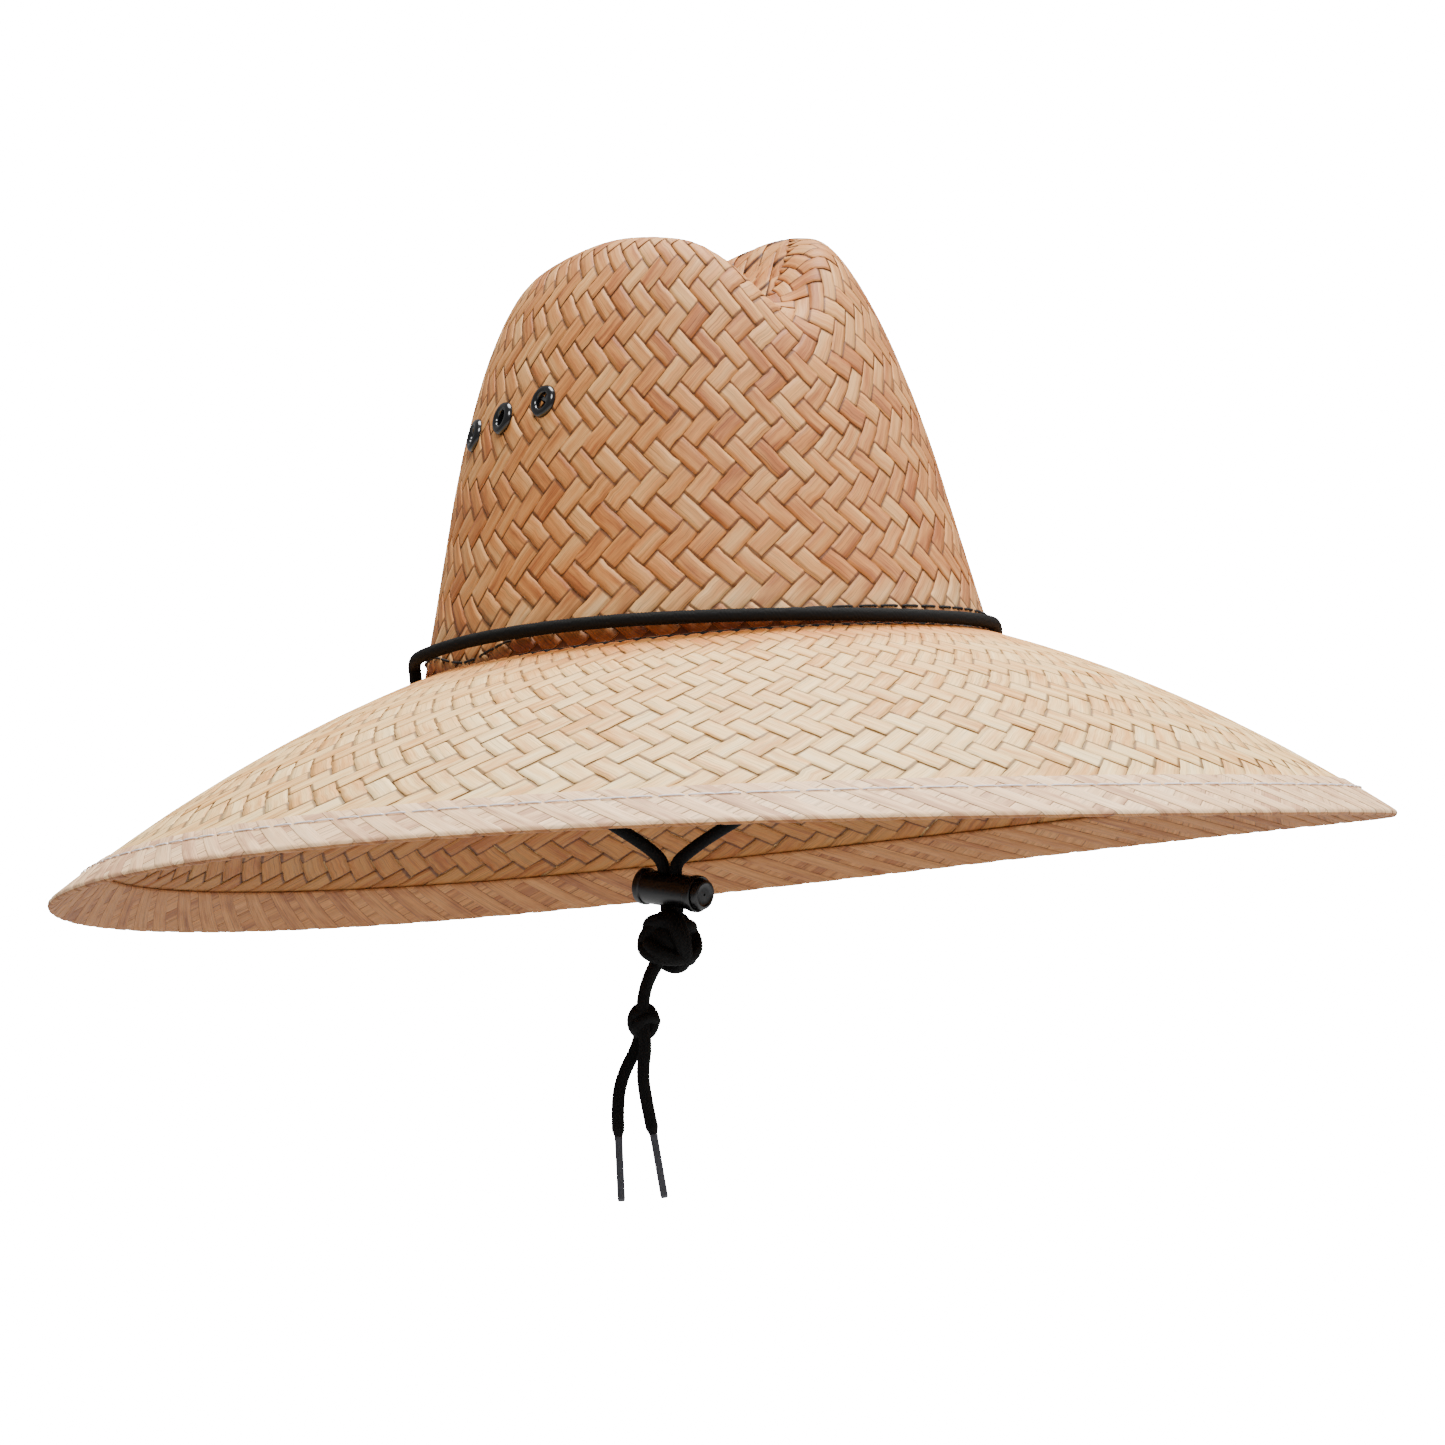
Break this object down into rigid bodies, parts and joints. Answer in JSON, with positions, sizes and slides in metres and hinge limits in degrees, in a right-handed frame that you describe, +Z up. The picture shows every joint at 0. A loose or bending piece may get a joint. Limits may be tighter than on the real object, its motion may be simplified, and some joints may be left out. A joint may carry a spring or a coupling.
{
  "type": "woven palm sun hat",
  "caption": "Wide-brimmed woven palm sun hat with a pinched tall crown, side vent eyelets, a folded stitched brim edge and a chin cord with a sprung barrel lock.",
  "frame": {"origin": "centre of the head opening, on the plane where the crown meets the brim", "axes": "+Z up through the crown, -Y to the front of the hat, -X to the wearer's right"},
  "size_m": [0.442, 0.462, 0.3146],
  "materials": {
    "crown_palm": "plaited palm leaf, tan, satin",
    "brim_palm": "plaited palm leaf, pale, satin",
    "hem_palm": "folded palm leaf, pale, satin",
    "clear_thread": "clear nylon thread",
    "sweatband_cloth": "woven cotton tape",
    "black_thread": "sewing thread",
    "black_eyelet": "gloss black enamel",
    "black_cord": "braided polyester",
    "black_plastic": "moulded, fine satin",
    "button_plastic": "moulded, fine satin",
    "spring_steel": "drawn wire",
    "aglet_plastic": "heat-shrunk film"
  },
  "bodies": {
    "hat": {"crown_shell": "crown_palm", "brim_shell": "brim_palm", "brim_edge_hem": "hem_palm", "brim_hem_stitching": "clear_thread", "sweatband": "sweatband_cloth", "sweatband_stitching": "black_thread", "eyelets_right": "black_eyelet", "eyelets_left": "black_eyelet", "eyelet_washers_right": "black_eyelet", "eyelet_washers_left": "black_eyelet", "chin_cord_band": "black_cord"},
    "chin_loop": {"chin_strand_right": "black_cord", "chin_strand_left": "black_cord"},
    "cord_lock": {"lock_housing": "black_plastic", "lock_spring": "spring_steel"},
    "lock_button": {"lock_button": "button_plastic"},
    "cord_ends": {"stopper_knot": "black_cord", "cord_end_right": "black_cord", "cord_end_left": "black_cord", "end_knot": "black_cord", "aglet_right": "aglet_plastic", "aglet_left": "aglet_plastic"}
  },
  "joints": [
    {"name": "chin_cord_swing", "type": "hinge", "parent": "hat", "child": "chin_loop", "pos_m": [0, 0, -0.0045], "axis": [0.866, -0.5, 0], "range_deg": [-60, 60]},
    {"name": "cord_lock_slide", "type": "slide", "parent": "chin_loop", "child": "cord_lock", "axis": [0, 0, 1], "range_m": [0, 0.022], "deforming": ["chin_strand_right", "chin_strand_left"]},
    {"name": "lock_button_press", "type": "slide", "parent": "cord_lock", "child": "lock_button", "axis": [-0.3348, 0.9198, 0.2045], "range_m": [0, 0.0018], "stiffness_N_per_m": 600, "springref_m": -0.003, "deforming": ["lock_spring"]},
    {"name": "cord_ends_pull", "type": "slide", "parent": "cord_lock", "child": "cord_ends", "axis": [0, 0, -1], "range_m": [0, 0.011]}
  ],
  "couplings": [
    {"joint": "cord_ends_pull", "follows": "cord_lock_slide", "ratio": 0.5}
  ]
}
